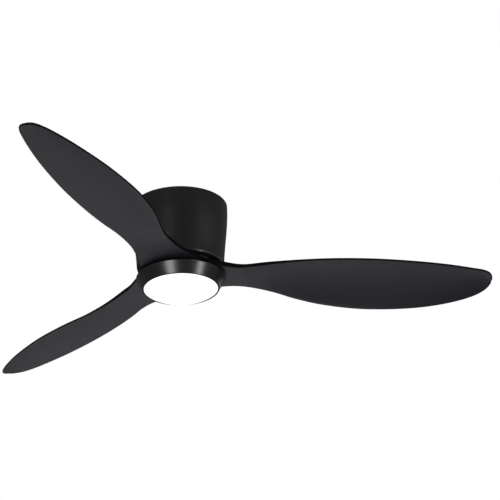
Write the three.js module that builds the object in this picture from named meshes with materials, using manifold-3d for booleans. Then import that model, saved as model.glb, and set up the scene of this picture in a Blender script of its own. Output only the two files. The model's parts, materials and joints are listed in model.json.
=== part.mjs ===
// Low ceiling fan with three blades and an LED light, in millimetres.
// +Z is up, z = 0 is the ceiling, and the rotor turns about the Z axis.
import * as THREE from 'three';
import { mergeVertices } from 'three/addons/utils/BufferGeometryUtils.js';
import Module from 'manifold-3d';

const wasm = await Module();
wasm.setup();

// ---- driving dimensions -------------------------------------------------

const gap = 0.3; // air left between two pieces that touch
const turn = Math.PI * 2;
const sides = { large: 48, middle: 32, small: 18, hole: 8 };

const bladeCount = 3;
const bladeRest = THREE.MathUtils.degToRad(7.24); // blade_1, from +X towards +Y
const bladeTip = 660;

const bracket = { thick: 3, radius: 70, legX: 92.5, legThick: 3, legWide: 26, legDrop: 24 };
const legTurn = THREE.MathUtils.degToRad(20); // the bracket's legs, from the line of its outlet holes
const outletScrewSpacing = 88.9;
const supplyHole = { radius: 11, y: 34 };

const hanger = { radius: 60, thick: 3, cheekX: 19, cheekThick: 4, cheekWide: 30 };
const collar = { radius: 22, top: -24, bottom: -40 };
const hangerScrewRadius = 52;

const shell = { top: -0.4, bottom: -144.5, topRadius: 99.6, bottomRadius: 90.4, wall: 1.4, lip: 84 };
const housingScrewZ = -13;

const shaft = { radius: 8, bore: 5.6, top: -26, bottom: -170.5 };
const motor = { radius: 78, top: -46, split: -80, bottom: -116, wall: 2.8, disc: 3 };
const bearing = { bore: 8.15, innerOut: 10.4, outerIn: 15.6, outside: 17.5, wide: 11, ball: 2.4 };
const upperBearingZ = -52;
const lowerBearingZ = -110;
const earRadius = 6.5;
const earCircle = 81;

const stator = { radius: 69.5, core: 22, stackTop: -68, stackBottom: -94, teeth: 12 };
const magnet = { inside: 70.6, outside: 74.6, top: -65, bottom: -97 };

const hub = { top: -116.4, bottom: -145, flange: -141.2, mouth: 36, radius: 80, screwCircle: 43 };
const root = { top: -146.8, bottom: -157.5, inside: 42, seamRadius: 80 };
const seamTurn = THREE.MathUtils.degToRad(-2.5); // the joints between blade roots sit off centre
const bladeScrewCircle = 62;
const bladeScrewSpread = THREE.MathUtils.degToRad(30);

const fitter = { top: -149, flangeTop: -158.9, bottom: -161.9, radius: 30, screwCircle: 23 };
const pan = {
  top: -162.2, wall: 1.8, radius: 92, corner: 1.6, lipRadius: 79.2, lipInside: 77.7, lipBottom: -187.3,
};
const trayZ = -176;
const driver = { x: 22, y: 56, deep: 8.6, earY: 66, earX: 9, middleX: 43 };
const trayPostCircle = 58;
const lens = {
  radius: 77.4, rim: -187.0, lowest: -204.6, fullness: 2.64, neck: 74, neckTop: -179.2, wall: 2,
};
const lug = { top: -179.4, bottom: -181.6, reach: 77.2, arc: 0.30 };
const tab = { top: -182.0, bottom: -184.2, inside: 74.5, arc: 0.42 };

// ---- looks --------------------------------------------------------------

function look(colour, roughness, metalness) {
  return { color: colour, roughness, metalness };
}

const looks = {
  blackPaint: look(0x252628, 0.38, 0.3),
  bladePlastic: look(0x3b3c41, 0.5, 0.0),
  castAluminium: look(0x9a9c9e, 0.5, 0.8),
  zincSteel: look(0xa9adb0, 0.35, 0.9),
  darkSteel: look(0x3a3c3f, 0.4, 0.8),
  bearingSteel: look(0xc4c7ca, 0.2, 1.0),
  brass: look(0xb08d4a, 0.35, 0.9),
  laminations: look(0x5c5f63, 0.55, 0.7),
  copper: look(0xb4652f, 0.35, 0.8),
  magnet: look(0x33353a, 0.6, 0.4),
  blackRubber: look(0x1b1b1c, 0.85, 0.0),
  whitePlastic: look(0xe9e8e3, 0.45, 0.0),
  whiteSteel: look(0xf1f1ee, 0.4, 0.1),
  circuitGreen: look(0x1f5a37, 0.45, 0.1),
  blackCable: look(0x202124, 0.55, 0.0),
  whiteCable: look(0xdcdcd8, 0.55, 0.0),
  opal: look(0xfdfbf6, 0.25, 0.0),
};

// ---- tools: solids, joins and cuts --------------------------------------

function weld(geometry) {
  const bare = geometry.index ? geometry.clone() : mergeVertices(geometry);
  bare.deleteAttribute('normal');
  bare.deleteAttribute('uv');
  const merged = mergeVertices(bare, 1e-4);
  const kept = [];
  const index = merged.index.array;
  for (let i = 0; i < index.length; i += 3) {
    const [a, b, c] = [index[i], index[i + 1], index[i + 2]];
    if (a !== b && b !== c && c !== a) {
      kept.push(a, b, c);
    }
  }
  merged.setIndex(kept);
  return merged;
}

function toSolid(geometry) {
  const welded = weld(geometry);
  return new wasm.Manifold(new wasm.Mesh({
    numProp: 3,
    vertProperties: new Float32Array(welded.attributes.position.array),
    triVerts: new Uint32Array(welded.index.array),
  }));
}

function toGeometry(solid) {
  const mesh = solid.getMesh();
  const geometry = new THREE.BufferGeometry();
  geometry.setAttribute('position', new THREE.BufferAttribute(mesh.vertProperties, 3));
  geometry.setIndex(new THREE.BufferAttribute(mesh.triVerts, 1));
  return geometry;
}

function join(pieces) {
  const solids = pieces.map(toSolid);
  return toGeometry(solids.reduce((whole, piece) => whole.add(piece)));
}

function cut(body, cutters) {
  const solids = cutters.map(toSolid);
  return toGeometry(solids.reduce((whole, cutter) => whole.subtract(cutter), toSolid(body)));
}

function common(first, second) {
  return toGeometry(toSolid(first).intersect(toSolid(second)));
}

// A profile of [radius, z] corners, turned about the Z axis. It closes on itself,
// and runs anticlockwise so that the faces look outwards.
function turned(corners, sideCount) {
  const points = corners.map(([radius, z]) => new THREE.Vector2(radius, z));
  if (!THREE.ShapeUtils.isClockWise(points)) {
    points.reverse();
  }
  points.reverse();
  const onAxis = points.every((point) => point.x > 0);
  if (onAxis) {
    points.push(points[0].clone());
  }
  return new THREE.LatheGeometry(points, sideCount).rotateX(Math.PI / 2);
}

function rod(radius, bottom, top, sideCount, x = 0, y = 0) {
  const geometry = new THREE.CylinderGeometry(radius, radius, top - bottom, sideCount);
  return geometry.rotateX(Math.PI / 2).translate(x, y, (top + bottom) / 2);
}

function box(sizeX, sizeY, bottom, top, x = 0, y = 0) {
  return new THREE.BoxGeometry(sizeX, sizeY, top - bottom).translate(x, y, (top + bottom) / 2);
}

function plate(shape, bottom, top, curveSegments = 8) {
  const settings = { depth: top - bottom, bevelEnabled: false, curveSegments };
  return new THREE.ExtrudeGeometry(shape, settings).translate(0, 0, bottom);
}

// A flat ring sector from one angle to another.
function sector(inside, outside, from, to) {
  const shape = new THREE.Shape();
  shape.absarc(0, 0, outside, from, to, false);
  shape.absarc(0, 0, inside, to, from, true);
  shape.closePath();
  return shape;
}

function onCircle(radius, angle) {
  return [radius * Math.cos(angle), radius * Math.sin(angle)];
}

// Angles of a bolt circle.
function around(count, first = 0) {
  return Array.from({ length: count }, (_, i) => first + (i * turn) / count);
}

// Screw pointing up from its pan head.
function screwUp(headBottom, headTop, tipTop, headRadius, shankRadius, x = 0, y = 0) {
  const dome = headRadius * 0.25;
  const profile = [
    [0, headBottom], [headRadius * 0.75, headBottom], [headRadius, headBottom + dome],
    [headRadius, headTop], [shankRadius, headTop], [shankRadius, tipTop], [0, tipTop],
  ];
  return turned(profile, sides.hole).translate(x, y, 0);
}

// Screw with the same head, pointing down.
function screwDown(headTop, headBottom, tip, headRadius, shankRadius, x = 0, y = 0) {
  const screw = screwUp(-headTop, -headBottom, -tip, headRadius, shankRadius);
  return screw.rotateX(Math.PI).translate(x, y, 0);
}

function tubeAlong(points, radius, steps) {
  const route = new THREE.CatmullRomCurve3(points.map((p) => new THREE.Vector3(...p)));
  const section = new THREE.Shape();
  section.absarc(0, 0, radius, 0, turn, false);
  const settings = { steps, curveSegments: 4, extrudePath: route };
  return new THREE.ExtrudeGeometry(section, settings);
}

const fan = new THREE.Group();
const rotor = new THREE.Group();
fan.add(rotor);

function add(name, geometry, style, parent = fan) {
  const mesh = new THREE.Mesh(geometry, new THREE.MeshStandardMaterial(style));
  mesh.name = name;
  parent.add(mesh);
  return mesh;
}

// ---- ceiling bracket and motor hanger -----------------------------------

function ceilingBracket() {
  const { thick, radius, legX, legThick, legWide, legDrop } = bracket;
  const disc = rod(radius, -thick, 0, sides.middle);
  const bar = box(2 * (legX + legThick), legWide, -thick, 0);
  const legs = [-1, 1].map((side) => {
    return box(legThick, legWide, -legDrop, 0, side * (legX + legThick / 2));
  });
  const arms = [bar, ...legs].map((piece) => piece.rotateZ(legTurn));
  const screwLine = new THREE.CylinderGeometry(2, 2, 220, sides.hole).rotateZ(Math.PI / 2);
  const holes = [
    rod(2.6, -thick - 1, 1, sides.hole, outletScrewSpacing / 2, 0),
    rod(2.6, -thick - 1, 1, sides.hole, -outletScrewSpacing / 2, 0),
    rod(supplyHole.radius, -thick - 1, 1, sides.small, 0, supplyHole.y),
    screwLine.rotateZ(legTurn).translate(0, 0, housingScrewZ),
  ];
  for (const angle of around(3, turn / 4)) {
    const [x, y] = onCircle(hangerScrewRadius, angle);
    holes.push(rod(2.3, -thick - 1, 1, sides.hole, x, y));
  }
  return cut(join([disc, ...arms]), holes);
}

function motorHanger() {
  const top = -bracket.thick - gap;
  const flange = rod(hanger.radius, top - hanger.thick, top, sides.middle);
  const cheeks = [-1, 1].map((side) => {
    return box(hanger.cheekThick, hanger.cheekWide, collar.bottom + 4, top - 1, side * hanger.cheekX);
  });
  const ring = rod(collar.radius, collar.bottom, collar.top, sides.small);
  const holes = [
    rod(shaft.radius + 0.15, collar.bottom - 1, collar.top + 1, sides.small),
    rod(supplyHole.radius, top - hanger.thick - 1, top + 1, sides.small, 0, supplyHole.y),
    new THREE.CylinderGeometry(2.5, 2.5, 24, sides.hole).translate(0, -18, (collar.top + collar.bottom) / 2),
  ];
  for (const side of [-1, 1]) {
    holes.push(rod(6, top - hanger.thick - 1, top + 1, sides.hole, side * outletScrewSpacing / 2, 0));
  }
  for (const angle of around(3, turn / 4)) {
    const [x, y] = onCircle(hangerScrewRadius, angle);
    holes.push(rod(2.6, top - hanger.thick - 1, top + 1, sides.hole, x, y));
  }
  return cut(join([flange, ...cheeks, ring]), holes);
}

add('ceiling_bracket', ceilingBracket(), looks.zincSteel);
add('motor_hanger', motorHanger(), looks.zincSteel);
around(3, turn / 4).forEach((angle, i) => {
  const [x, y] = onCircle(hangerScrewRadius, angle);
  const seat = -bracket.thick - gap - hanger.thick - gap;
  add(`hanger_screw_${i + 1}`, screwUp(seat - 3, seat, -0.6, 4.2, 2, x, y), looks.darkSteel);
});

// Set screw that locks the shaft in the hanger's collar.
function shaftLockScrew() {
  const middle = (collar.top + collar.bottom) / 2;
  const screw = screwUp(-3, 0, 13.3, 4, 2.1);
  return screw.rotateX(-Math.PI / 2).translate(0, -collar.radius - gap, middle);
}
add('shaft_lock_screw', shaftLockScrew(), looks.darkSteel);

// ---- housing ------------------------------------------------------------

// Outer radius of the housing at a height: nearly straight at the top, then drawn in.
function shellRadius(z) {
  const down = (shell.top - z) / (shell.top - shell.bottom);
  const drawIn = THREE.MathUtils.smoothstep(down, 0.05, 1.05);
  return THREE.MathUtils.lerp(shell.topRadius, shell.bottomRadius, drawIn);
}

function housingShell() {
  const steps = 4;
  const lipRound = 4;
  const outside = [];
  const inside = [];
  for (let i = 0; i <= steps; i += 1) {
    const z = THREE.MathUtils.lerp(shell.top, shell.bottom + lipRound, i / steps);
    outside.push([shellRadius(z), z]);
    inside.unshift([shellRadius(z) - shell.wall, z]);
  }
  const foot = shellRadius(shell.bottom + lipRound);
  outside.push([foot - 1.2, shell.bottom + 1.2], [foot - lipRound, shell.bottom]);
  outside.push([shell.lip, shell.bottom], [shell.lip, shell.bottom + shell.wall]);
  inside.unshift([foot - lipRound - 0.5, shell.bottom + shell.wall]);
  const wall = turned([...outside, ...inside], sides.large);
  const holes = [-1, 1].map((side) => {
    const hole = new THREE.CylinderGeometry(2.3, 2.3, 12, sides.hole).rotateZ(Math.PI / 2);
    return hole.translate(side * shell.topRadius, 0, housingScrewZ).rotateZ(legTurn);
  });
  return cut(wall, holes);
}

// Low-headed screw through the housing wall into a leg of the bracket.
function housingScrew(side) {
  const profile = [[0, 0.5], [3.4, 0.2], [3.8, -0.3], [2, -0.8], [2, -9], [0, -9]];
  const reach = shellRadius(housingScrewZ) + 0.9;
  const screw = turned(profile, sides.hole).rotateY(side * Math.PI / 2);
  return screw.translate(side * reach, 0, housingScrewZ).rotateZ(legTurn);
}

add('housing_shell', housingShell(), looks.blackPaint);
add('housing_screw_1', housingScrew(1), looks.blackPaint);
add('housing_screw_2', housingScrew(-1), looks.blackPaint);

// ---- shaft and motor ----------------------------------------------------

const cableSlot = { bottom: -66, top: -58 };

function motorShaft() {
  const { radius, bore, top, bottom } = shaft;
  const tube = turned([[bore, top], [radius, top], [radius, bottom], [bore, bottom]], sides.small);
  const slot = box(7, 12, cableSlot.bottom, cableSlot.top, 0, 8);
  return cut(tube, [slot]);
}

function bearingRing(inside, outside, middle) {
  const [low, high] = [middle - bearing.wide / 2, middle + bearing.wide / 2];
  return turned([[inside, low], [outside, low], [outside, high], [inside, high]], sides.small);
}

// The balls and their cage turn together, at their own speed.
function bearingCage(middle) {
  const circle = (bearing.innerOut + bearing.outerIn) / 2;
  const ring = turned([
    [circle - 0.8, middle - 1.6], [circle + 0.8, middle - 1.6],
    [circle + 0.8, middle + 1.6], [circle - 0.8, middle + 1.6],
  ], 16);
  const balls = around(8).map((angle) => {
    const ball = new THREE.SphereGeometry(bearing.ball, 6, 5).rotateX(Math.PI / 2);
    return ball.translate(...onCircle(circle, angle), middle);
  });
  return join([ring, ...balls]);
}

// Half of the motor's can: a disc with a bearing seat and a wall that meets the other half.
function motorCover(face, split, inward) {
  const { radius, wall, disc } = motor;
  const seat = bearing.outside + 0.15;
  const step = (distance) => face + inward * distance;
  const cup = turned([
    [seat, face], [radius - 4, face], [radius, step(4)], [radius, split],
    [radius - wall, split], [radius - wall, step(disc + 2)], [radius - wall - 2, step(disc)],
    [seat + 4, step(disc)], [seat + 4, step(12)], [seat, step(12)],
  ], sides.middle);
  const ears = around(3).map((angle) => {
    const [low, high] = [split, split - inward * 6].sort((a, b) => a - b);
    return rod(earRadius, low, high, 12, ...onCircle(earCircle, angle));
  });
  const inner = rod(radius - wall, motor.bottom - 5, motor.top + 5, sides.middle);
  const trimmedEars = ears.map((ear) => cut(ear, [inner]));
  const holes = around(3).map((angle) => {
    return rod(2.2, split - 8, split + 8, sides.hole, ...onCircle(earCircle + 1.5, angle));
  });
  const vents = around(6, turn / 12).map((angle) => {
    return rod(7, face - 5, face + 5, sides.hole, ...onCircle(58, angle));
  });
  return cut(join([cup, ...trimmedEars]), [...holes, ...vents]);
}

function lowerMotorCover() {
  const cover = motorCover(motor.bottom, motor.split - gap, 1);
  const holes = around(3, turn / 6).map((angle) => {
    return rod(1.9, motor.bottom - 1, motor.bottom + 8, sides.hole, ...onCircle(hub.screwCircle, angle));
  });
  return cut(cover, holes);
}

function statorCore() {
  const { radius, core, stackTop, stackBottom, teeth } = stator;
  const yoke = turned([
    [core - 13.8, stackBottom], [core + 12, stackBottom],
    [core + 12, stackTop], [core - 13.8, stackTop],
  ], sides.small);
  const toothArc = (turn / teeth) * 0.4;
  const poles = around(teeth).map((angle) => {
    const tooth = box(radius - 28, 9, stackBottom, stackTop, (radius + 20) / 2, 0).rotateZ(angle);
    const shoe = plate(
      sector(radius - 5, radius, angle - toothArc, angle + toothArc), stackBottom, stackTop, 1);
    return [tooth, shoe];
  });
  return join([yoke, ...poles.flat()]);
}

// One coil round each tooth, with the insulating ring and the leads that join them.
function statorWindings() {
  const { radius, stackTop, stackBottom, teeth } = stator;
  const reach = 7;
  const ring = turned([
    [38, stackTop + gap], [45, stackTop + gap], [45, stackTop + 4], [38, stackTop + 4],
  ], sides.small);
  const coils = around(teeth).map((angle) => {
    const middle = radius - 17;
    const coil = box(21, 15.6, stackBottom - reach, stackTop + reach, middle, 0);
    const hole = box(23, 9.6, stackBottom - gap, stackTop + gap, middle, 0);
    return cut(coil, [hole]).rotateZ(angle);
  });
  return join([ring, ...coils]);
}

function magnetRing() {
  const { inside, outside, top, bottom } = magnet;
  return turned([[inside, bottom], [outside, bottom], [outside, top], [inside, top]], sides.middle);
}

add('motor_shaft', motorShaft(), looks.zincSteel);
const bearings = { upper: upperBearingZ, lower: lowerBearingZ };
for (const [place, middle] of Object.entries(bearings)) {
  const inner = bearingRing(bearing.bore, bearing.innerOut, middle);
  const outer = bearingRing(bearing.outerIn, bearing.outside, middle);
  add(`${place}_bearing_inner_race`, inner, looks.bearingSteel);
  add(`${place}_bearing_outer_race`, outer, looks.bearingSteel, rotor);
  add(`${place}_bearing_cage`, bearingCage(middle), looks.brass);
}
add('stator_core', statorCore(), looks.laminations);
add('stator_windings', statorWindings(), looks.copper);
add('motor_upper_cover', motorCover(motor.top, motor.split, -1), looks.castAluminium, rotor);
add('motor_lower_cover', lowerMotorCover(), looks.castAluminium, rotor);
add('rotor_magnet_ring', magnetRing(), looks.magnet, rotor);
around(3).forEach((angle, i) => {
  const [x, y] = onCircle(earCircle + 1.5, angle);
  const head = motor.split + 6 + gap;
  const screw = screwDown(head + 2.6, head, motor.split - 6, 3.6, 1.9, x, y);
  add(`motor_cover_screw_${i + 1}`, screw, looks.darkSteel, rotor);
});

// ---- blade hub and blades -----------------------------------------------

function bladeHub() {
  const { top, bottom, flange, mouth, radius, screwCircle } = hub;
  const bell = turned([
    [mouth, top], [51, top], [56, flange], [radius, flange],
    [radius, bottom], [53, bottom], [48.4, top - 3], [mouth, top - 3],
  ], sides.middle);
  const holes = around(3, turn / 6).map((angle) => {
    return rod(2.3, top - 8, top + 1, sides.hole, ...onCircle(screwCircle, angle));
  });
  for (const angle of bladeScrewAngles()) {
    holes.push(rod(2.6, bottom - 1, bottom + 12, sides.hole, ...onCircle(bladeScrewCircle, angle)));
  }
  return cut(bell, holes);
}

function bladeScrewAngles() {
  return around(bladeCount, seamTurn).flatMap((angle) => {
    return [angle - bladeScrewSpread, angle + bladeScrewSpread];
  });
}

// Edges of a blade's underside as [along the blade, across it, height].
// The trailing edge hangs low, and the leading edge is the high one.
const trailingEdge = [
  [112, 49.5, -154], [150, 46.5, -156], [200, 51.5, -162.5], [250, 64.5, -170.5],
  [310, 79.5, -175], [400, 88.5, -178.5], [500, 79.5, -177], [560, 65.5, -173.5],
  [610, 47, -167], [636, 33, -161.5], [652, 18, -155], [bladeTip - 1, 3, -149],
];
const leadingEdge = [
  [112, -48.5, -156], [150, -43.5, -149], [200, -48.5, -143], [250, -58, -140.5],
  [310, -65, -138.5], [400, -68, -137.5], [500, -62, -137.5], [560, -54.5, -138],
  [610, -45, -139], [636, -38, -139], [652, -28, -141], [bladeTip - 1, -12, -145],
];
const blade = { edgeThick: 4.2, middleThick: 7, neckThick: 9, camber: 8 };

function edgeCurve(points) {
  return new THREE.CatmullRomCurve3(points.map((p) => new THREE.Vector3(...p)), false, 'centripetal');
}

// A grid box bent onto the two edge curves: length follows the span, width the chord.
function bladeWing() {
  const spanSteps = 22;
  const chordSteps = 4;
  const grid = new THREE.BoxGeometry(1, 1, 1, spanSteps, chordSteps, 1);
  const trailing = edgeCurve(trailingEdge);
  const leading = edgeCurve(leadingEdge);
  const place = grid.attributes.position;
  for (let i = 0; i < place.count; i += 1) {
    const along = place.getX(i) + 0.5;
    const across = place.getY(i) + 0.5;
    const top = place.getZ(i) > 0;
    const span = Math.sin(along * Math.PI / 2) ** 0.9;
    const point = leading.getPoint(span).lerp(trailing.getPoint(span), across);
    const bow = Math.sin(across * Math.PI);
    const neck = 1 - THREE.MathUtils.smoothstep(span, 0, 0.3);
    const tip = 1 - THREE.MathUtils.smoothstep(span, 0.85, 1);
    const middle = THREE.MathUtils.lerp(blade.middleThick, blade.neckThick, neck);
    const edge = THREE.MathUtils.lerp(blade.edgeThick, blade.neckThick, neck);
    point.z += blade.camber * bow * (1 - neck) * tip;
    if (top) {
      point.z += THREE.MathUtils.lerp(edge, THREE.MathUtils.lerp(edge, middle, tip), bow);
    }
    place.setXYZ(i, point.x, point.y, point.z);
  }
  return grid;
}

// The root is a third of a ring with shoulders that flow into the neck.
function rootShape(halfGap) {
  const { inside, seamRadius } = root;
  const high = turn / 6 + seamTurn;
  const low = -turn / 6 + seamTurn;
  const shy = (radius) => halfGap / radius;
  const shape = new THREE.Shape();
  shape.absarc(0, 0, inside, low + shy(inside), high - shy(inside), false);
  shape.lineTo(...onCircle(seamRadius, high - shy(seamRadius)));
  shape.quadraticCurveTo(78, 55, 100, 51);
  shape.lineTo(124, 47.5);
  shape.lineTo(124, -46);
  shape.lineTo(66, -63);
  shape.lineTo(...onCircle(seamRadius, low + shy(seamRadius)));
  shape.closePath();
  return shape;
}

function bladeGeometry() {
  const plateTop = root.top;
  const base = plate(rootShape(0.35), root.bottom, plateTop, 8);
  const holes = [-1, 1].map((side) => {
    const angle = seamTurn + side * bladeScrewSpread;
    return rod(2.6, root.bottom - 1, plateTop + 1, sides.hole, ...onCircle(bladeScrewCircle, angle));
  });
  return cut(join([base, bladeWing()]), holes);
}

function bladeGasket() {
  const spread = 0.86;
  const top = hub.bottom - gap;
  const pad = plate(sector(52, 78, seamTurn - spread, seamTurn + spread), root.top + gap, top, 8);
  const holes = [-1, 1].map((side) => {
    const angle = seamTurn + side * bladeScrewSpread;
    return rod(2.7, root.top - 1, top + 1, sides.hole, ...onCircle(bladeScrewCircle, angle));
  });
  return cut(pad, holes);
}

add('blade_hub', bladeHub(), looks.castAluminium, rotor);
around(3, turn / 6).forEach((angle, i) => {
  const [x, y] = onCircle(hub.screwCircle, angle);
  const seat = hub.top - 3 - gap;
  const screw = screwUp(seat - 2.8, seat, motor.bottom + 2.4, 3.8, 1.7, x, y);
  add(`hub_screw_${i + 1}`, screw, looks.darkSteel, rotor);
});
around(bladeCount).forEach((angle, i) => {
  const name = i + 1;
  add(`blade_${name}`, bladeGeometry().rotateZ(angle), looks.bladePlastic, rotor);
  add(`blade_gasket_${name}`, bladeGasket().rotateZ(angle), looks.blackRubber, rotor);
});
bladeScrewAngles().forEach((angle, i) => {
  const [x, y] = onCircle(bladeScrewCircle, angle);
  const seat = root.bottom - gap;
  const screw = screwUp(seat - 2.6, seat, hub.bottom + 6, 4.6, 2.3, x, y);
  add(`blade_screw_${i + 1}`, screw, looks.darkSteel, rotor);
});
rotor.rotation.z = bladeRest;

// ---- controls above the motor -------------------------------------------

const controls = { x: 78, y: 30, middleY: -42, top: -9.2, bottom: -34, wall: 2 };
const terminals = { x: 30, y: 14, middleX: 36, middleY: 22, top: -6.9, bottom: -18 };

function controlBox() {
  const { x, y, middleY, top, bottom, wall } = controls;
  const body = box(x, y, bottom, top, 0, middleY);
  const hollow = box(x - 2 * wall, y - 2 * wall, bottom + wall, top + 1, 0, middleY);
  const cableHole = box(12, 6, bottom + 12, top + 1, 0, middleY + y / 2);
  return cut(body, [hollow, cableHole]);
}

function controlBoard() {
  const { x, y, middleY, bottom, wall } = controls;
  const floor = bottom + wall + 1;
  const board = box(x - 8, y - 7, floor, floor + 1.6, 0, middleY);
  const parts = [
    rod(5, floor + 1, floor + 13, 14, -24, middleY - 2),
    rod(4, floor + 1, floor + 11, 14, -13, middleY + 3),
    box(12, 10, floor + 1, floor + 10, 22, middleY - 3),
    box(8, 8, floor + 1, floor + 4, 4, middleY - 5),
  ];
  return join([board, ...parts]);
}

function terminalBlock() {
  const { x, y, middleX, middleY, top, bottom } = terminals;
  const body = box(x, y, bottom, top, middleX, middleY);
  const ports = [-9, 0, 9].map((place) => {
    return rod(2.4, bottom - 1, bottom + 6, sides.hole, middleX + place, middleY + 3);
  });
  return cut(body, ports);
}

const cableRadius = 1.9;
const innerEnd = controls.middleY + controls.y / 2 - 4;

// Through the hollow shaft, out of its slot and up to the coil leads.
function motorCable() {
  return tubeAlong([
    [2, innerEnd, -15], [2.2, -16, -12], [2.4, -4, -14], [2.6, 0.4, -22], [2.6, 0.6, -40],
    [2.0, 1.4, -54], [0.6, 4, -61], [0.2, 11, -62.5], [0.2, 23, -63], [0.2, 35, -62.2],
  ], cableRadius, 32);
}

// Through the whole shaft and across to the LED driver.
function lightCable() {
  return tubeAlong([
    [-3, innerEnd, -20], [-3, -17, -17], [-2.8, -4, -16.5], [-2.6, -0.6, -24], [-2.6, -0.6, -60],
    [-2.6, -0.6, -110], [-2.6, -0.6, -155], [-2, -0.4, -168], [4, 0, -173.4], [14, 0, -173.6],
    [24, 0, -170], [driver.middleX - driver.x / 2 - gap, 0, -169],
  ], cableRadius, 36);
}

// From the terminal block to the control box.
function supplyLead() {
  const start = terminals.middleY - terminals.y / 2 - gap;
  const end = controls.middleY + controls.y / 2 + gap;
  return tubeAlong([
    [30, start, -13], [30.5, 6, -13.4], [32, -8, -14.2], [32, end, -15],
  ], cableRadius, 12);
}

const lidTop = controls.top + 2 + gap;
add('control_box', controlBox(), looks.whitePlastic);
const lid = box(controls.x, controls.y, controls.top + gap, lidTop, 0, controls.middleY);
add('control_box_lid', lid, looks.whitePlastic);
add('control_board', controlBoard(), looks.circuitGreen);
add('terminal_block', terminalBlock(), looks.whitePlastic);
add('motor_cable', motorCable(), looks.blackCable);
add('light_cable', lightCable(), looks.whiteCable);
add('supply_lead', supplyLead(), looks.blackCable);

// ---- light --------------------------------------------------------------

function lightFitter() {
  const { top, flangeTop, bottom, radius, screwCircle } = fitter;
  const inside = shaft.radius + 0.15;
  const flange = turned([
    [inside, top], [15, top], [15, flangeTop + 3], [18, flangeTop],
    [radius, flangeTop], [radius, bottom], [inside, bottom],
  ], sides.small);
  const holes = around(3, turn / 12).map((angle) => {
    return rod(1.9, bottom - 1, flangeTop + 5, sides.hole, ...onCircle(screwCircle, angle));
  });
  return cut(flange, holes);
}

// A cone with a rounded top edge, drawn in to a short straight lip round the lens.
function lightPan() {
  const { top, wall, radius, corner, lipRadius, lipInside, lipBottom } = pan;
  const lipHeight = 1.2;
  const hole = shaft.radius + 0.8;
  const outside = [
    [radius - corner, top], [radius - corner * 0.3, top - corner * 0.3], [radius, top - corner],
    [lipRadius, lipBottom + lipHeight], [lipRadius, lipBottom],
  ];
  const profile = [
    [hole, top], ...outside, [lipInside, lipBottom], [lipInside, lipBottom + 2 * lipHeight],
    [radius - wall, top - wall - corner], [radius - wall - corner, top - wall], [hole, top - wall],
  ];
  const filled = turned([
    [0, top - 1], ...outside.map(([r, z]) => [r - wall / 3, Math.min(z, top - 1)]), [0, lipBottom],
  ], sides.large);
  const tabs = around(3).map((angle) => {
    const shape = sector(tab.inside, radius, angle - tab.arc / 2, angle + tab.arc / 2);
    return common(plate(shape, tab.bottom, tab.top, 5), filled);
  });
  const posts = around(3, turn / 6).map((angle) => {
    return rod(3.6, trayZ + gap, top - 1, 12, ...onCircle(trayPostCircle, angle));
  });
  const postHoles = around(3, turn / 6).map((angle) => {
    return rod(1.6, trayZ - 1, top - 4, sides.hole, ...onCircle(trayPostCircle, angle));
  });
  const screwHoles = around(3, turn / 12).map((angle) => {
    return rod(2.1, top - 4, top + 1, sides.hole, ...onCircle(fitter.screwCircle, angle));
  });
  return cut(join([turned(profile, sides.large), ...tabs, ...posts]), [...screwHoles, ...postHoles]);
}

function shaftNut() {
  const seat = pan.top - pan.wall - gap;
  const nut = rod(14, seat - 5, seat, 6);
  return cut(nut, [rod(shaft.radius + 0.15, seat - 6, seat + 1, sides.small)]);
}

function ledDriver() {
  const top = pan.top - pan.wall - gap;
  const body = box(driver.x, driver.y, top - driver.deep, top, driver.middleX, 0);
  const ears = box(driver.earX, driver.earY, top - 2, top, driver.middleX, 0);
  return join([body, ears]);
}

function ledTray() {
  const disc = turned([
    [10, trayZ], [72, trayZ], [77, trayZ], [77, trayZ - 1], [10, trayZ - 1],
  ], sides.middle);
  const holes = around(3, turn / 6).map((angle) => {
    return rod(1.9, trayZ - 3, trayZ + 1, sides.hole, ...onCircle(trayPostCircle, angle));
  });
  return cut(disc, [...holes, box(16, 12, trayZ - 2, trayZ + 1, 10, 0)]);
}

function ledBoard() {
  const top = trayZ - 1 - gap;
  const disc = turned([[14, top], [52, top], [52, top - 1.6], [14, top - 1.6]], sides.middle);
  const rings = [[26, 6], [42, 12]];
  const chips = rings.flatMap(([radius, count]) => around(count).map((angle) => {
    return box(3.4, 3.4, top - 2.4, top - 1, radius, 0).rotateZ(angle);
  }));
  return join([disc, ...chips]);
}

// A shallow dome, flatter in the middle than a ball, with a neck that twists into the pan.
function lensDome() {
  const { radius, rim, lowest, fullness, neck, neckTop, wall } = lens;
  const steps = 6;
  const dome = (r) => lowest + (rim - lowest) * (r / radius) ** fullness;
  const outside = [];
  const inside = [];
  for (let i = 0; i <= steps; i += 1) {
    const out = radius * i / steps;
    const inner = (neck - wall) * i / steps;
    outside.push([out, dome(out)]);
    inside.unshift([inner, dome(inner) + wall]);
  }
  const profile = [
    ...outside, [radius, rim + 2], [neck, rim + 2.4], [neck, neckTop], [neck - wall, neckTop], ...inside,
  ];
  const lugs = around(3).map((angle) => {
    const shape = sector(neck - 1, lug.reach, angle - lug.arc / 2, angle + lug.arc / 2);
    return plate(shape, lug.bottom, lug.top, 4);
  });
  return join([turned(profile, sides.large), ...lugs]);
}

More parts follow.
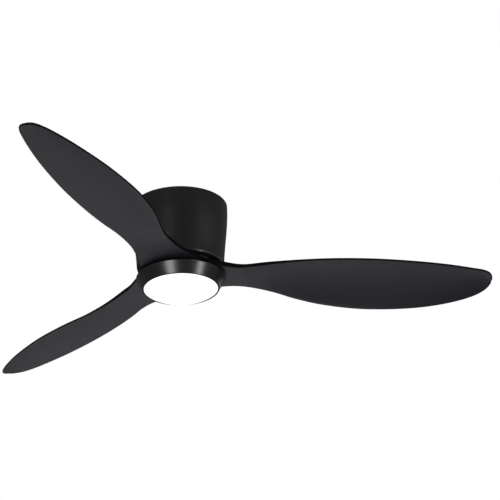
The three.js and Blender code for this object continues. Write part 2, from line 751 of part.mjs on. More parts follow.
add('light_fitter', lightFitter(), looks.zincSteel);
add('light_pan', lightPan(), looks.blackPaint);
around(3, turn / 12).forEach((angle, i) => {
  const [x, y] = onCircle(fitter.screwCircle, angle);
  const seat = pan.top - pan.wall - gap;
  const screw = screwUp(seat - 2.4, seat, fitter.flangeTop - 0.4, 3.4, 1.7, x, y);
  add(`pan_screw_${i + 1}`, screw, looks.darkSteel);
});
add('shaft_nut', shaftNut(), looks.zincSteel);
add('led_driver', ledDriver(), looks.whitePlastic);
add('led_tray', ledTray(), looks.whiteSteel);
around(3, turn / 6).forEach((angle, i) => {
  const [x, y] = onCircle(trayPostCircle, angle);
  const seat = trayZ - 1 - gap;
  add(`tray_screw_${i + 1}`, screwUp(seat - 1.8, seat, trayZ + 8, 3, 1.4, x, y), looks.darkSteel);
});
add('led_board', ledBoard(), looks.whiteSteel);
add('lens', lensDome(), looks.opal);

export default fan;
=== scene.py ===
"""Looks of the flush-mounted ceiling fan with light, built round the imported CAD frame."""
import json
import math

import bmesh
import bpy
from mathutils import Matrix, Vector


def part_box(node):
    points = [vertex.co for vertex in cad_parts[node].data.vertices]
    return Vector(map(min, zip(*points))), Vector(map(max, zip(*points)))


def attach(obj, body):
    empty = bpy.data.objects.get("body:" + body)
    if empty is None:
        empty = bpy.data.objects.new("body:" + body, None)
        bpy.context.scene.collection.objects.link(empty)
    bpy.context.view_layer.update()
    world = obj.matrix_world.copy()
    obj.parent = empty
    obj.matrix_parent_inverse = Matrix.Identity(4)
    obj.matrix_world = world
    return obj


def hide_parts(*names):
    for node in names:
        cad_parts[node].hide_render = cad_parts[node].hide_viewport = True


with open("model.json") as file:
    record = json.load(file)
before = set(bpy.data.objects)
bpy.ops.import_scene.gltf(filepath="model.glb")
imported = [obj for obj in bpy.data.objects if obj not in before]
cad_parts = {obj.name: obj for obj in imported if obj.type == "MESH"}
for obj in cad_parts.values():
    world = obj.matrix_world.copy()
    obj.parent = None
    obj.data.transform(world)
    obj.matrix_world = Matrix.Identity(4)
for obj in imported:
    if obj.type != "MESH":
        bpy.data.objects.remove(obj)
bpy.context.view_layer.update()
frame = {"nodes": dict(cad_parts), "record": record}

MM = 0.001
TURN = 2 * math.pi


# ---- sizes read from the frame ------------------------------------------

def half_width(node):
    low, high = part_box(node)
    return (high.x - low.x) / 2


shell_low, shell_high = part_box("housing_shell")
pan_low, pan_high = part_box("light_pan")
lens_low, lens_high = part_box("lens")

HOUSING_RADIUS = half_width("housing_shell") + 0.8 * MM
PAN_RADIUS = half_width("light_pan")
LENS_RADIUS = half_width("lens")
LENS_NECK = 74 * MM
BLADE_COUNT = sum(1 for name in frame["nodes"] if name.startswith("blade_") and name[6:].isdigit())

# Where the photo shows the first blade, from the X axis.
BLADE_REST = math.radians(7.24)


# ---- mesh tools ---------------------------------------------------------

def new_object(name, mesh, body, slot, *nodes):
    """A piece that rides on a body and stands in for the CAD nodes."""
    piece = bpy.data.objects.new(name, mesh)
    bpy.context.scene.collection.objects.link(piece)
    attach(piece, body)
    if nodes:
        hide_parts(*nodes)
    return piece


def shade(mesh, sharp_degrees=35):
    """Smooth faces, with edges sharper than the angle kept crisp."""
    for face in mesh.polygons:
        face.use_smooth = True
    mesh.set_sharp_from_angle(angle=math.radians(sharp_degrees))


def mesh_from(bm, name):
    bmesh.ops.recalc_face_normals(bm, faces=bm.faces)
    mesh = bpy.data.meshes.new(name)
    bm.to_mesh(mesh)
    bm.free()
    shade(mesh)
    return mesh


def arc(centre, radius, start, end, steps):
    """Points of an arc in the (radius, height) plane, angles in degrees."""
    points = []
    for i in range(steps + 1):
        angle = math.radians(start + (end - start) * i / steps)
        points.append((centre[0] + radius * math.cos(angle), centre[1] + radius * math.sin(angle)))
    return points


SMALLEST = 1e-7


def add_turned(bm, profile, sides=160):
    """Turns a closed (radius, height) outline about the Z axis."""
    rings = []
    for radius, height in profile:
        if radius < SMALLEST:
            rings.append([bm.verts.new((0, 0, height))])
            continue
        rings.append([
            bm.verts.new((radius * math.cos(TURN * i / sides), radius * math.sin(TURN * i / sides), height))
            for i in range(sides)
        ])
    pairs = list(zip(rings, rings[1:]))
    if len(rings[0]) > 1 and len(rings[-1]) > 1:
        pairs.append((rings[-1], rings[0]))
    for low, high in pairs:
        for i in range(sides):
            corners = [low[i % len(low)], low[(i + 1) % len(low)],
                       high[(i + 1) % len(high)], high[i % len(high)]]
            kept = list(dict.fromkeys(corners))
            if len(kept) > 2:
                bm.faces.new(kept)


def add_block(bm, inside, outside, start, end, low, high, steps=6):
    """A piece of a flat ring, from one angle to another."""
    layers = []
    for height in (low, high):
        row = []
        for i in range(steps + 1):
            angle = start + (end - start) * i / steps
            row.append([bm.verts.new((r * math.cos(angle), r * math.sin(angle), height))
                        for r in (inside, outside)])
        layers.append(row)
    bottom, top = layers
    for i in range(steps):
        bm.faces.new((bottom[i][0], bottom[i + 1][0], bottom[i + 1][1], bottom[i][1]))
        bm.faces.new((top[i][0], top[i][1], top[i + 1][1], top[i + 1][0]))
        bm.faces.new((bottom[i][0], top[i][0], top[i + 1][0], bottom[i + 1][0]))
        bm.faces.new((bottom[i][1], bottom[i + 1][1], top[i + 1][1], top[i][1]))
    for i in (0, steps):
        bm.faces.new((bottom[i][0], bottom[i][1], top[i][1], top[i][0]))


def smooth_step(low, high, value):
    """Rises from 0 at low to 1 at high, level at both ends."""
    t = min(max((value - low) / (high - low), 0), 1)
    return t * t * (3 - 2 * t)


def through(points, position):
    """A smooth curve through the points; position runs from 0 to len(points) - 1."""
    i = min(int(position), len(points) - 2)
    t = position - i
    p1, p2 = points[i], points[i + 1]
    p0 = points[i - 1] if i > 0 else p1 * 2 - p2
    p3 = points[i + 2] if i + 2 < len(points) else p2 * 2 - p1
    k01 = max((p1 - p0).length, 1e-6) ** 0.5
    k12 = max((p2 - p1).length, 1e-6) ** 0.5
    k23 = max((p3 - p2).length, 1e-6) ** 0.5
    m1 = (p2 - p1) / k12 - (p2 - p0) / (k01 + k12) + (p1 - p0) / k01
    m2 = (p3 - p2) / k23 - (p3 - p1) / (k12 + k23) + (p2 - p1) / k12
    m1, m2 = m1 * k12, m2 * k12
    return (p1 * (2 * t**3 - 3 * t**2 + 1) + m1 * (t**3 - 2 * t**2 + t)
            + p2 * (3 * t**2 - 2 * t**3) + m2 * (t**3 - t**2))


# ---- materials ----------------------------------------------------------

class Shader:
    """A small helper that wires one procedural material."""

    def __init__(self, name, colour, roughness, metallic=0.0):
        self.material = bpy.data.materials.new(name)
        self.material.use_nodes = True
        self.nodes = self.material.node_tree.nodes
        self.links = self.material.node_tree.links
        self.base = self.nodes["Principled BSDF"]
        self.base.inputs["Metallic"].default_value = metallic
        self.base.inputs["Base Color"].default_value = (*colour, 1)
        self.base.inputs["Roughness"].default_value = roughness
        self.colour = colour
        self.roughness = roughness
        self.place = self.nodes.new("ShaderNodeTexCoord").outputs["Object"]
        self.height = None

    def noise(self, scale, detail=4, stretch=(1, 1, 1)):
        mapping = self.nodes.new("ShaderNodeMapping")
        mapping.inputs["Scale"].default_value = stretch
        self.links.new(self.place, mapping.inputs["Vector"])
        texture = self.nodes.new("ShaderNodeTexNoise")
        texture.inputs["Scale"].default_value = scale
        texture.inputs["Detail"].default_value = detail
        self.links.new(mapping.outputs["Vector"], texture.inputs["Vector"])
        return texture.outputs["Fac"]

    def cells(self, scale, output="Color"):
        texture = self.nodes.new("ShaderNodeTexVoronoi")
        texture.inputs["Scale"].default_value = scale
        self.links.new(self.place, texture.inputs["Vector"])
        return texture.outputs[output]

    def bands(self, scale, direction="Z", distortion=0.0):
        texture = self.nodes.new("ShaderNodeTexWave")
        texture.bands_direction = direction
        texture.inputs["Scale"].default_value = scale
        texture.inputs["Distortion"].default_value = distortion
        self.links.new(self.place, texture.inputs["Vector"])
        return texture.outputs["Fac"]

    def spread(self, source, low, high):
        """Stretches a 0 to 1 pattern over another range."""
        ranged = self.nodes.new("ShaderNodeMapRange")
        ranged.inputs["To Min"].default_value = low
        ranged.inputs["To Max"].default_value = high
        self.links.new(source, ranged.inputs["Value"])
        return ranged.outputs["Result"]

    def mottle(self, source, amount):
        """Varies the base colour by a share up and down."""
        ramp = self.nodes.new("ShaderNodeValToRGB")
        ramp.color_ramp.elements[0].position = 0.3
        ramp.color_ramp.elements[1].position = 0.7
        dark = [c * (1 - amount) for c in self.colour]
        light = [min(c * (1 + amount), 1) for c in self.colour]
        ramp.color_ramp.elements[0].color = (*dark, 1)
        ramp.color_ramp.elements[1].color = (*light, 1)
        self.links.new(source, ramp.inputs["Fac"])
        self.links.new(ramp.outputs["Color"], self.base.inputs["Base Color"])
        return self

    def vary_roughness(self, source, amount):
        value = self.spread(source, self.roughness - amount, self.roughness + amount)
        self.links.new(value, self.base.inputs["Roughness"])
        return self

    def bump(self, source, depth, strength=1.0):
        """Adds a relief of the given depth in metres on top of any earlier one."""
        node = self.nodes.new("ShaderNodeBump")
        node.inputs["Strength"].default_value = strength
        node.inputs["Distance"].default_value = depth
        self.links.new(source, node.inputs["Height"])
        if self.height:
            self.links.new(self.height, node.inputs["Normal"])
        self.height = node.outputs["Normal"]
        self.links.new(self.height, self.base.inputs["Normal"])
        return self

    def set(self, **values):
        for name, value in values.items():
            self.base.inputs[name.replace("_", " ")].default_value = value
        return self


def black_paint():
    """Satin powder coat: very fine orange peel, almost even black."""
    s = Shader("black_paint", (0.0065, 0.0067, 0.0074), 0.34)
    s.set(Specular_IOR_Level=0.5, Coat_Weight=1.0, Coat_Roughness=0.26, Coat_IOR=2.0)
    s.mottle(s.noise(14, 2), 0.12)
    s.vary_roughness(s.noise(180, 3), 0.035)
    return s.bump(s.noise(900, 2), 0.00004, 0.25).material


def blade_plastic(name="blade_plastic", tone=(0.0280, 0.0292, 0.0362), specular=0.12):
    """Moulded matt ABS with a fine spark texture and a slight bluish charcoal tone."""
    s = Shader(name, tone, 0.62)
    s.set(Specular_IOR_Level=specular)
    s.mottle(s.noise(5, 3, (1, 1, 3)), 0.08)
    s.vary_roughness(s.noise(260, 3), 0.05)
    s.bump(s.noise(1500, 2), 0.00005, 0.3)
    return s.bump(s.noise(9, 1), 0.0004, 0.08).material


def cast_aluminium():
    """Grainy die casting."""
    s = Shader("cast_aluminium", (0.50, 0.51, 0.52), 0.46, 0.9)
    s.mottle(s.noise(90, 5), 0.12)
    s.vary_roughness(s.noise(220, 4), 0.1)
    return s.bump(s.noise(1200, 4), 0.00012, 0.5).material


def zinc_steel():
    """Bright zinc plate with faint spangle and rolling lines."""
    s = Shader("zinc_steel", (0.56, 0.58, 0.61), 0.3, 1.0)
    s.mottle(s.cells(120), 0.08)
    s.vary_roughness(s.noise(60, 4, (1, 14, 1)), 0.08)
    return s.bump(s.noise(800, 3, (1, 10, 1)), 0.00003, 0.4).material


def dark_steel():
    s = Shader("dark_steel", (0.055, 0.056, 0.06), 0.38, 0.9)
    s.mottle(s.noise(400, 4), 0.25)
    s.vary_roughness(s.noise(500, 3), 0.08)
    return s.bump(s.noise(1600, 3), 0.00003, 0.4).material


def bearing_steel():
    s = Shader("bearing_steel", (0.66, 0.67, 0.69), 0.16, 1.0)
    s.mottle(s.noise(70, 3), 0.05)
    s.vary_roughness(s.bands(900, "Z", 1.0), 0.05)
    return s.bump(s.bands(1500, "Z", 2.0), 0.00001, 0.3).material


def brass():
    s = Shader("brass", (0.62, 0.42, 0.16), 0.32, 1.0)
    s.mottle(s.noise(240, 4), 0.15)
    s.vary_roughness(s.noise(300, 3), 0.1)
    return s.bump(s.noise(900, 3), 0.00003, 0.4).material


def laminations():
    """Half-millimetre steel sheets stacked along the axis."""
    s = Shader("laminations", (0.20, 0.21, 0.23), 0.42, 0.9)
    s.mottle(s.bands(320, "Z", 0.4), 0.35)
    s.vary_roughness(s.noise(150, 3), 0.08)
    return s.bump(s.bands(320, "Z"), 0.00015, 0.8).material


def copper():
    """Varnished wire laid side by side."""
    s = Shader("copper", (0.50, 0.17, 0.06), 0.3, 0.9)
    s.set(Coat_Weight=0.6, Coat_Roughness=0.15)
    s.mottle(s.bands(260, "X", 1.2), 0.3)
    s.vary_roughness(s.noise(200, 3), 0.08)
    return s.bump(s.bands(260, "X", 1.2), 0.0002, 0.9).material


def magnet():
    s = Shader("magnet", (0.035, 0.036, 0.04), 0.55, 0.3)
    s.mottle(s.noise(300, 5), 0.3)
    s.vary_roughness(s.noise(200, 4), 0.1)
    return s.bump(s.noise(1000, 4), 0.00006, 0.6).material


def black_rubber():
    s = Shader("black_rubber", (0.012, 0.012, 0.012), 0.8)
    s.mottle(s.noise(120, 4), 0.2)
    s.vary_roughness(s.noise(260, 3), 0.08)
    return s.bump(s.noise(1400, 4), 0.00006, 0.6).material


def white_plastic():
    s = Shader("white_plastic", (0.72, 0.71, 0.67), 0.42)
    s.mottle(s.noise(30, 3), 0.04)
    s.vary_roughness(s.noise(240, 3), 0.06)
    return s.bump(s.noise(1300, 3), 0.00004, 0.4).material


def white_steel():
    s = Shader("white_steel", (0.80, 0.80, 0.78), 0.35)
    s.set(Coat_Weight=0.3, Coat_Roughness=0.2)
    s.mottle(s.noise(20, 3), 0.03)
    s.vary_roughness(s.noise(150, 3), 0.05)
    return s.bump(s.noise(900, 2), 0.00004, 0.3).material


def circuit_green():
    s = Shader("circuit_green", (0.012, 0.085, 0.035), 0.35)
    s.set(Coat_Weight=0.5, Coat_Roughness=0.2)
    s.mottle(s.cells(260, "Distance"), 0.45)
    s.vary_roughness(s.noise(300, 2), 0.05)
    return s.bump(s.cells(260, "Distance"), 0.00005, 0.4).material


def cable_jacket(name, colour):
    s = Shader(name, colour, 0.5)
    s.mottle(s.noise(90, 3), 0.1)
    s.vary_roughness(s.noise(300, 3), 0.06)
    return s.bump(s.noise(1200, 3), 0.00004, 0.5).material


def opal():
    """Opal diffuser lit from inside: even white, a touch dimmer right at its rim."""
    glow_height = 18 * MM
    s = Shader("opal", (0.9, 0.89, 0.87), 0.28)
    s.set(Coat_Weight=0.2, Coat_Roughness=0.12, Emission_Strength=1.0)
    axis = s.nodes.new("ShaderNodeSeparateXYZ")
    s.links.new(s.place, axis.inputs["Vector"])
    ranged = s.nodes.new("ShaderNodeMapRange")
    ranged.inputs["From Min"].default_value = lens_low.z
    ranged.inputs["From Max"].default_value = lens_low.z + glow_height
    s.links.new(axis.outputs["Z"], ranged.inputs["Value"])
    ramp = s.nodes.new("ShaderNodeValToRGB")
    ramp.color_ramp.elements[0].color = (1.0, 1.0, 0.965, 1)
    ramp.color_ramp.elements[1].color = (0.86, 0.86, 0.80, 1)
    ramp.color_ramp.elements[0].position = 0.82
    s.links.new(ranged.outputs["Result"], ramp.inputs["Fac"])
    s.links.new(ramp.outputs["Color"], s.base.inputs["Emission Color"])
    s.mottle(s.noise(60, 2), 0.01)
    return s.bump(s.noise(500, 2), 0.00002, 0.2).material


MATERIALS = {
    "black_paint": black_paint(),
    "blade_plastic": blade_plastic(),
    # Darker, less glossy copy of the blade plastic: painted shade for the blade side walls, the housing's
    # rolled-under edge and the pan's lip.
    "painted_shade_edge": blade_plastic("painted_shade_edge", (0.007, 0.0072, 0.008), 0.06),
    "cast_aluminium": cast_aluminium(),
    "zinc_steel": zinc_steel(),
    "dark_steel": dark_steel(),
    "bearing_steel": bearing_steel(),
    "brass": brass(),
    "laminations": laminations(),
    "copper": copper(),
    "magnet": magnet(),
    "black_rubber": black_rubber(),
    "white_plastic": white_plastic(),
    "white_steel": white_steel(),
    "circuit_green": circuit_green(),
    "black_cable": cable_jacket("black_cable", (0.014, 0.014, 0.016)),
    "white_cable": cable_jacket("white_cable", (0.62, 0.62, 0.6)),
    "opal": opal(),
}


def dress_cad_nodes():
    """Every CAD node takes the material of its slot in the record."""
    for part in frame["record"]["subparts"]:
        node = frame["nodes"][part["node"]]
        node.data.materials.clear()
        node.data.materials.append(MATERIALS[part["material_slot"]])


# ---- housing ------------------------------------------------------------

HOUSING_TAPER = 10.4 * MM


def housing_radius(height):
    """Nearly straight under the ceiling, then gently drawn in."""
    down = (shell_high.z - height) / (shell_high.z - shell_low.z)
    return HOUSING_RADIUS - HOUSING_TAPER * smooth_step(0.05, 1.05, down)


def make_housing():
    """A drawn shell with a rolled lower edge that turns in to a narrow lip."""
    wall = 1.4 * MM
    draw_in = 4.5 * MM
    bend_height = 12 * MM
    bend_steps = 10
    shaded_height = 5.5 * MM
    inner_lip = 81 * MM
    steps = 24
    top = shell_high.z
    bend = shell_low.z + bend_height
    outside = []
    inside = []
    for i in range(1, steps + 1):
        height = top - 0.6 * MM + (bend - top) * i / steps
        outside.append((housing_radius(height), height))
        inside.insert(0, (housing_radius(height) - wall, height))
    foot = housing_radius(bend)
    crown = [(HOUSING_RADIUS - wall, top), (HOUSING_RADIUS - 0.7 * MM, top),
             (HOUSING_RADIUS - 0.2 * MM, top - 0.2 * MM), (HOUSING_RADIUS, top - 0.8 * MM)]
    lower = []
    upper = []
    for i in range(1, bend_steps + 1):
        angle = math.pi / 2 * i / bend_steps
        inward = draw_in * (1 - math.cos(angle))
        lower.append((foot - inward, bend - bend_height * math.sin(angle)))
        upper.insert(0, (foot - wall - inward, bend - (bend_height - wall) * math.sin(angle)))
    rim = [(inner_lip, shell_low.z), (inner_lip, shell_low.z + wall)]
    bm = bmesh.new()
    add_turned(bm, [*crown, *outside, *lower, *rim, *upper, *inside], 192)
    # The faces low on the rolled edge take the darker material: painted shade under the housing.
    for face in bm.faces:
        painted_shade_roll = max(vert.co.z for vert in face.verts) < shell_low.z + shaded_height
        face.material_index = 1 if painted_shade_roll else 0
    mesh = mesh_from(bm, "housing")
    mesh.materials.append(MATERIALS["black_paint"])
    mesh.materials.append(MATERIALS["painted_shade_edge"])
    return new_object("housing", mesh, "fixture", "black_paint", "housing_shell")


# ---- light pan and lens -------------------------------------------------

def make_pan():
    """A cone drawn in to a thin straight lip, with tabs inside that hold the lens."""
    wall = 1.8 * MM
    edge = 1.6 * MM
    lip_inside = LENS_RADIUS - 1.1 * MM
    lip_outside = lip_inside + 3.0 * MM
    hole = 8.8 * MM
    tab_inside, tab_outside = 74.5 * MM, 81 * MM
    tab_arc = 0.42
    low, top = pan_low.z, pan_high.z
    crown = arc((PAN_RADIUS - edge, top - edge), edge, 90, -20, 8)
    lip = [(lip_outside + 0.25 * MM, low + 1.3 * MM), (lip_outside, low + 0.5 * MM)]
    bead = arc((lip_outside - 0.5 * MM, low + 0.5 * MM), 0.5 * MM, -30, -90, 3)
    inside = [(lip_inside, low), (lip_inside, low + 2.4 * MM), (PAN_RADIUS - wall, top - wall - edge),
              (PAN_RADIUS - wall - edge, top - wall), (hole, top - wall)]
    bm = bmesh.new()
    add_turned(bm, [(hole, top), *crown, *lip, *bead, *inside], 192)
    for i in range(3):
        middle = TURN * i / 3
        add_block(bm, tab_inside, tab_outside, middle - tab_arc / 2, middle + tab_arc / 2,
                  low + 3.1 * MM, low + 5.3 * MM)
    # The lowest faces of the lip take the darker material: a painted shadow line between the pan and the
    # lens.
    for face in bm.faces:
        painted_shade_lip = max(vert.co.z for vert in face.verts) < low + 0.7 * MM
        face.material_index = 1 if painted_shade_lip else 0
    mesh = mesh_from(bm, "pan")
    mesh.materials.append(MATERIALS["black_paint"])
    mesh.materials.append(MATERIALS["painted_shade_edge"])
    return new_object("pan", mesh, "fixture", "black_paint", "light_pan")


def make_lens():
    """A shallow dome, flatter in the middle than a ball, on a neck that twists into the pan."""
    wall = 2 * MM
    rim = pan_low.z + 1.2 * MM
    neck = LENS_NECK
    lug_reach = 77.2 * MM
    lug_arc = 0.3
    fullness = 3.1
    steps = 24
    rim_radius = LENS_RADIUS - 1.4 * MM

    def dome(radius):
        return lens_low.z + (rim - lens_low.z) * (radius / rim_radius) ** fullness

    outside = []
    inside = []
    for i in range(steps + 1):
        outer = rim_radius * math.sin(math.pi / 2 * i / steps)
        inner = (neck - wall) * (1 - i / steps)
        outside.append((outer, dome(outer)))
        inside.append((inner, dome(inner) + wall))
    shoulder = [(rim_radius, rim + 0.8 * MM), (rim_radius - 0.5 * MM, rim + 1.2 * MM),
                (neck, rim + 1.3 * MM), (neck, lens_high.z), (neck - wall, lens_high.z)]
    bm = bmesh.new()
    add_turned(bm, [*outside, *shoulder, *inside], 160)
    for i in range(3):
        middle = TURN * i / 3
        add_block(bm, neck - 1 * MM, lug_reach, middle - lug_arc / 2, middle + lug_arc / 2,
                  lens_high.z - 2.4 * MM, lens_high.z - 0.2 * MM)
    mesh = mesh_from(bm, "lens_diffuser")
    mesh.materials.append(MATERIALS["opal"])
    return new_object("lens_diffuser", mesh, "lens", "opal", "lens")


# ---- blades -------------------------------------------------------------

# Edges of a blade's underside in millimetres, as (along, across, height), from the
# inner end of the root, round the root's corner and shoulder, and out to the tip.
TRAILING = [
    (22.6, 35.4, -156), (41.5, 65.8, -155), (45.5, 68.3, -154.6), (66, 61.5, -154), (92, 54, -153.8),
    (120, 46.6, -154.2), (150, 44, -156.1), (200, 49.1, -162.7), (250, 62, -170.5), (310, 77, -175.2),
    (400, 86, -178.3), (500, 77, -177.1), (560, 63, -173.4), (610, 45, -167), (636, 31, -161.3),
    (649, 20.5, -156.5), (655.6, 11, -152.5), (658.4, 3.4, -149.4), (659, -1.5, -148),
]
LEADING = [
    (19.4, -37.3, -157.2), (35.6, -68.4, -157.2), (40, -70.4, -157.2), (64, -62.4, -157.2),
    (92, -52.8, -157.2), (116, -46, -155.4), (150, -41.2, -149), (200, -46.2, -143),
    (250, -55.6, -140.5), (310, -62.6, -138.7),
    (400, -65.6, -137.5), (500, -59.8, -137.6), (560, -52, -138), (610, -42.4, -139), (636, -35.8, -139.2),
    (649, -29, -140.4), (655.6, -21, -142.4), (658.4, -13, -144.6), (659, -8, -146.4),
]
# How far the lines across the root bow outwards, station by station.
ROOT_BOW = [21, 39, 39, 34, 22, 9, 0]
ROOT_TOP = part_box("blade_gasket_1")[0].z / MM - 0.3
BLADE_STATIONS = 108
CHORD_STEPS = 18
CORNER_STEPS = 4
# Millimetres: how high the side walls are on the blade and how much more at its neck.
WALL_HEIGHT = 4.2
NECK_WALL_EXTRA = 5.2
CAMBER = 8
MIDDLE_EXTRA = 2.8
ROOT_DRAFT = 0.3
EDGE_ROUND = 1.9
# How far the free edges stand out past the two lists above.
EDGE_PROUD = 2.8


def outward(edge, k, side):
    """Level direction out of the blade at a point of one of its edges."""
    before, after = edge[max(k - 1, 0)], edge[min(k + 1, len(edge) - 1)]
    along = (after - before).to_2d().normalized()
    return Vector((-along.y, along.x, 0)) * side


def root_bow(position):
    """Bow of the line across the blade at a position along it, 0 past the root."""
    if position >= len(ROOT_BOW) - 1:
        return 0.0
    i = int(position)
    return ROOT_BOW[i] + (ROOT_BOW[i + 1] - ROOT_BOW[i]) * smooth_step(0, 1, position - i)


def line_across(lead, trail, bow, rise):
    """Points from the leading edge to the trailing edge."""
    points = []
    for j in range(CHORD_STEPS + 1):
        across = j / CHORD_STEPS
        point = lead.lerp(trail, across)
        point.x += bow * 4 * across * (1 - across)
        point.z += rise * math.sin(math.pi * across)
        points.append(point)
    return points


def border(foot, head, out, radius):
    """Points up a rounded side wall, from beside the underside to beside the top."""
    points = []
    for step in range(1, CORNER_STEPS + 1):
        angle = math.pi / 2 * step / CORNER_STEPS
        points.append(foot - out * radius * (1 - math.sin(angle))
                      + Vector((0, 0, radius * (1 - math.cos(angle)))))
    for step in range(CORNER_STEPS):
        angle = math.pi / 2 * step / CORNER_STEPS
        points.append(head - out * radius * (1 - math.cos(angle))
                      - Vector((0, 0, radius * (1 - math.sin(angle)))))
    return points


def blade_section(position, lead, trail, out_lead, out_trail):
    """Points once round the blade, across the underside and back over the top."""
    root = 1 - smooth_step(4.2, 6.5, position)
    tip = smooth_step(13, 18, position)
    neck = 1 - smooth_step(4.5, 8.5, position)
    camber = CAMBER * smooth_step(5.5, 9, position) * (1 - tip)
    edge_height = WALL_HEIGHT + NECK_WALL_EXTRA * neck
    middle_extra = MIDDLE_EXTRA * (1 - tip) * (1 - neck)
    draft = ROOT_DRAFT * root
    lead = lead + out_lead * EDGE_PROUD * (1 - root)
    trail = trail + out_trail * EDGE_PROUD * (1 - root)
    walls = []
    for foot, out in ((lead, out_lead), (trail, out_trail)):
        free = foot.z + edge_height
        head = Vector((foot.x, foot.y, free + (ROOT_TOP - free) * root))
        walls.append((foot - out * draft, head, out))
    (lead_foot, lead_head, _), (trail_foot, trail_head, _) = walls
    bow = root_bow(position)
    radius = min(EDGE_ROUND, edge_height / 2.1)
    under = line_across(lead_foot - out_lead * radius, trail_foot - out_trail * radius, bow, camber)
    over = line_across(lead_head - out_lead * radius, trail_head - out_trail * radius, bow,
                       (camber + middle_extra) * (1 - root))
    lead_wall, trail_wall = [border(foot, head, out, radius) for foot, head, out in walls]
    return under + trail_wall + over[::-1] + lead_wall[::-1]


def close_end(bm, ring):
    """Fills one end of the blade between its underside, top and side walls."""
    row = CHORD_STEPS + 1
    wall = (len(ring) - 2 * row) // 2
    under = ring[:row]
    over = ring[row + wall:2 * row + wall][::-1]
    trail_wall = ring[row:row + wall]
    lead_wall = ring[2 * row + wall:][::-1]
    for j in range(CHORD_STEPS):
        bm.faces.new((under[j], under[j + 1], over[j + 1], over[j]))
    bm.faces.new((under[-1], *trail_wall, over[-1]))
    bm.faces.new((under[0], *lead_wall, over[0]))


def make_blade(number):
    """One moulded blade: a closed skin with small rounded edges."""
    trailing = [Vector(p) for p in TRAILING]
    leading = [Vector(p) for p in LEADING]
    positions = [(len(trailing) - 1) * k / BLADE_STATIONS for k in range(BLADE_STATIONS + 1)]
    leads = [through(leading, position) for position in positions]
    trails = [through(trailing, position) for position in positions]
    bm = bmesh.new()
    rings = []
    for k, position in enumerate(positions):
        section = blade_section(position, leads[k], trails[k], outward(leads, k, -1), outward(trails, k, 1))
        rings.append([bm.verts.new(point * MM) for point in section])
    count = len(rings[0])
    row = CHORD_STEPS + 1
    for k, (a, b) in enumerate(zip(rings, rings[1:])):
        # The side walls take the darker material, painted shade; the root's outer corner, where two roots
        # meet, keeps the plastic's own tone.
        seam_corner = 0.95 < positions[k] < 1.3
        for j in range(count):
            face = bm.faces.new((a[j], a[(j + 1) % count], b[(j + 1) % count], b[j]))
            painted_shade_wall = j % (count // 2) >= row
            face.material_index = 1 if painted_shade_wall and not seam_corner else 0
    close_end(bm, rings[0])
    close_end(bm, rings[-1])
    angle = BLADE_REST + TURN * (number - 1) / BLADE_COUNT
    bmesh.ops.rotate(bm, verts=bm.verts, matrix=Matrix.Rotation(angle, 3, "Z"))
    mesh = mesh_from(bm, f"fan_blade_{number}")
    mesh.materials.append(MATERIALS["blade_plastic"])
    mesh.materials.append(MATERIALS["painted_shade_edge"])
    return new_object(f"fan_blade_{number}", mesh, "rotor", "blade_plastic", f"blade_{number}")


# ---- studio -------------------------------------------------------------

FAN_MIDDLE = Vector((0, 0, -0.16))
CAMERA_ROLL = math.radians(-2.17)


def aim(thing, target, roll=0.0):
    """Points a camera or a light at a place."""
    direction = Vector(target) - thing.location
    turn = direction.to_track_quat("-Z", "Y")
    thing.rotation_mode = "QUATERNION"
    thing.rotation_quaternion = turn @ Matrix.Rotation(roll, 4, "Z").to_quaternion()


def make_camera():
    """Long lens, about 25 degrees below the fan, as in the photo."""
    data = bpy.data.cameras.new("camera")
    data.lens = 130.2
    data.sensor_width = 36
    data.clip_end = 100
    camera = bpy.data.objects.new("camera", data)
    camera.location = (0, -3.3648, -1.7615)
    aim(camera, (0.1435, -0.0317, -0.1160), CAMERA_ROLL)
    bpy.context.scene.collection.objects.link(camera)
    bpy.context.scene.camera = camera


def make_light(name, place, width, height, power):
    """A soft box aimed at the fan, itself out of the camera's sight."""
    data = bpy.data.lights.new(name, "AREA")
    data.shape = "RECTANGLE"
    data.size = width
    data.size_y = height
    data.energy = power
    light = bpy.data.objects.new(name, data)
    light.location = place
    light.visible_camera = False
    aim(light, FAN_MIDDLE)
    bpy.context.scene.collection.objects.link(light)


def floor_paint():
    """Pale matt floor, with a glow that only the camera sees, so that it lights nothing."""
    s = Shader("pale_floor", (0.80, 0.80, 0.79), 0.7)
    s.mottle(s.noise(3, 3), 0.015)
    s.vary_roughness(s.noise(20, 3), 0.05)
    glow = 0.55
    path = s.nodes.new("ShaderNodeLightPath")
    seen = s.nodes.new("ShaderNodeMath")
    seen.operation = "MULTIPLY"
    seen.inputs[1].default_value = glow
    s.links.new(path.outputs["Is Camera Ray"], seen.inputs[0])
    s.links.new(seen.outputs[0], s.base.inputs["Emission Strength"])
    s.set(Emission_Color=(1, 1, 0.99, 1))
    return s.material


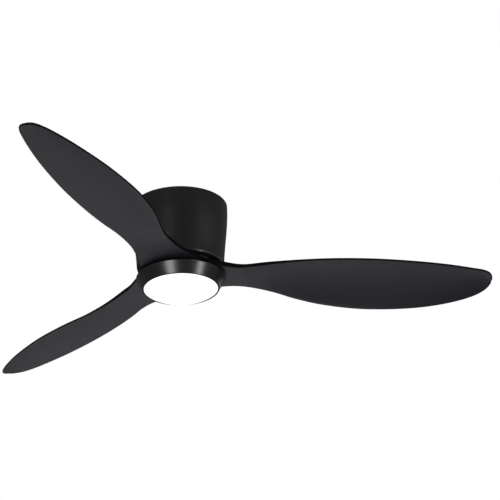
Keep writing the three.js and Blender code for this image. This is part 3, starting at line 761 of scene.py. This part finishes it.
def make_floor():
    """Pale floor, far enough below the fan to leave room for views from underneath."""
    bm = bmesh.new()
    size = 16
    depth = 8
    corners = [bm.verts.new((x * size, y * size, -depth)) for x, y in ((-1, -1), (1, -1), (1, 1), (-1, 1))]
    bm.faces.new(corners)
    mesh = mesh_from(bm, "floor")
    mesh.materials.append(floor_paint())
    floor = bpy.data.objects.new("floor", mesh)
    bpy.context.scene.collection.objects.link(floor)


def make_world():
    """White to the camera, and a dim even light for the object."""
    world = bpy.data.worlds.new("studio")
    world.use_nodes = True
    nodes, links = world.node_tree.nodes, world.node_tree.links
    seen = nodes["Background"]
    seen.inputs["Color"].default_value = (1, 1, 1, 1)
    seen.inputs["Strength"].default_value = 1.0
    lit = nodes.new("ShaderNodeBackground")
    lit.inputs["Color"].default_value = (0.95, 0.97, 1.0, 1)
    lit.inputs["Strength"].default_value = 0.065
    path = nodes.new("ShaderNodeLightPath")
    mix = nodes.new("ShaderNodeMixShader")
    links.new(path.outputs["Is Camera Ray"], mix.inputs["Fac"])
    links.new(lit.outputs["Background"], mix.inputs[1])
    links.new(seen.outputs["Background"], mix.inputs[2])
    links.new(mix.outputs["Shader"], nodes["World Output"].inputs["Surface"])
    bpy.context.scene.world = world


def around_fan(azimuth, elevation, distance):
    """A place seen from the fan: azimuth from the camera's side, turning right."""
    a, e = math.radians(azimuth), math.radians(elevation)
    direction = Vector((math.sin(a) * math.cos(e), -math.cos(a) * math.cos(e), math.sin(e)))
    return FAN_MIDDLE + direction * distance


def make_studio():
    """Two strips for the ring's bands, two side panels, a top light and a low key from behind."""
    make_light("strip_left", around_fan(-27, -21, 3.0), 1.0, 2.9, 21)
    make_light("strip_right", around_fan(53, -21, 3.0), 0.6, 2.9, 16.5)
    make_light("side_near", around_fan(78, 8, 3.5), 2.2, 0.9, 1.2)
    make_light("side_far", around_fan(125, 8, 3.5), 3.0, 0.9, 1.3)
    make_light("top_soft", (0, 0, 3.2), 4.0, 4.0, 40)
    make_light("key_behind", around_fan(-170, -42, 3.5), 4.0, 3.4, 84)
    make_floor()
    make_world()
    bpy.context.scene.view_settings.view_transform = "Standard"


dress_cad_nodes()
make_housing()
make_pan()
make_lens()
for blade_number in range(1, BLADE_COUNT + 1):
    make_blade(blade_number)
make_camera()
make_studio()
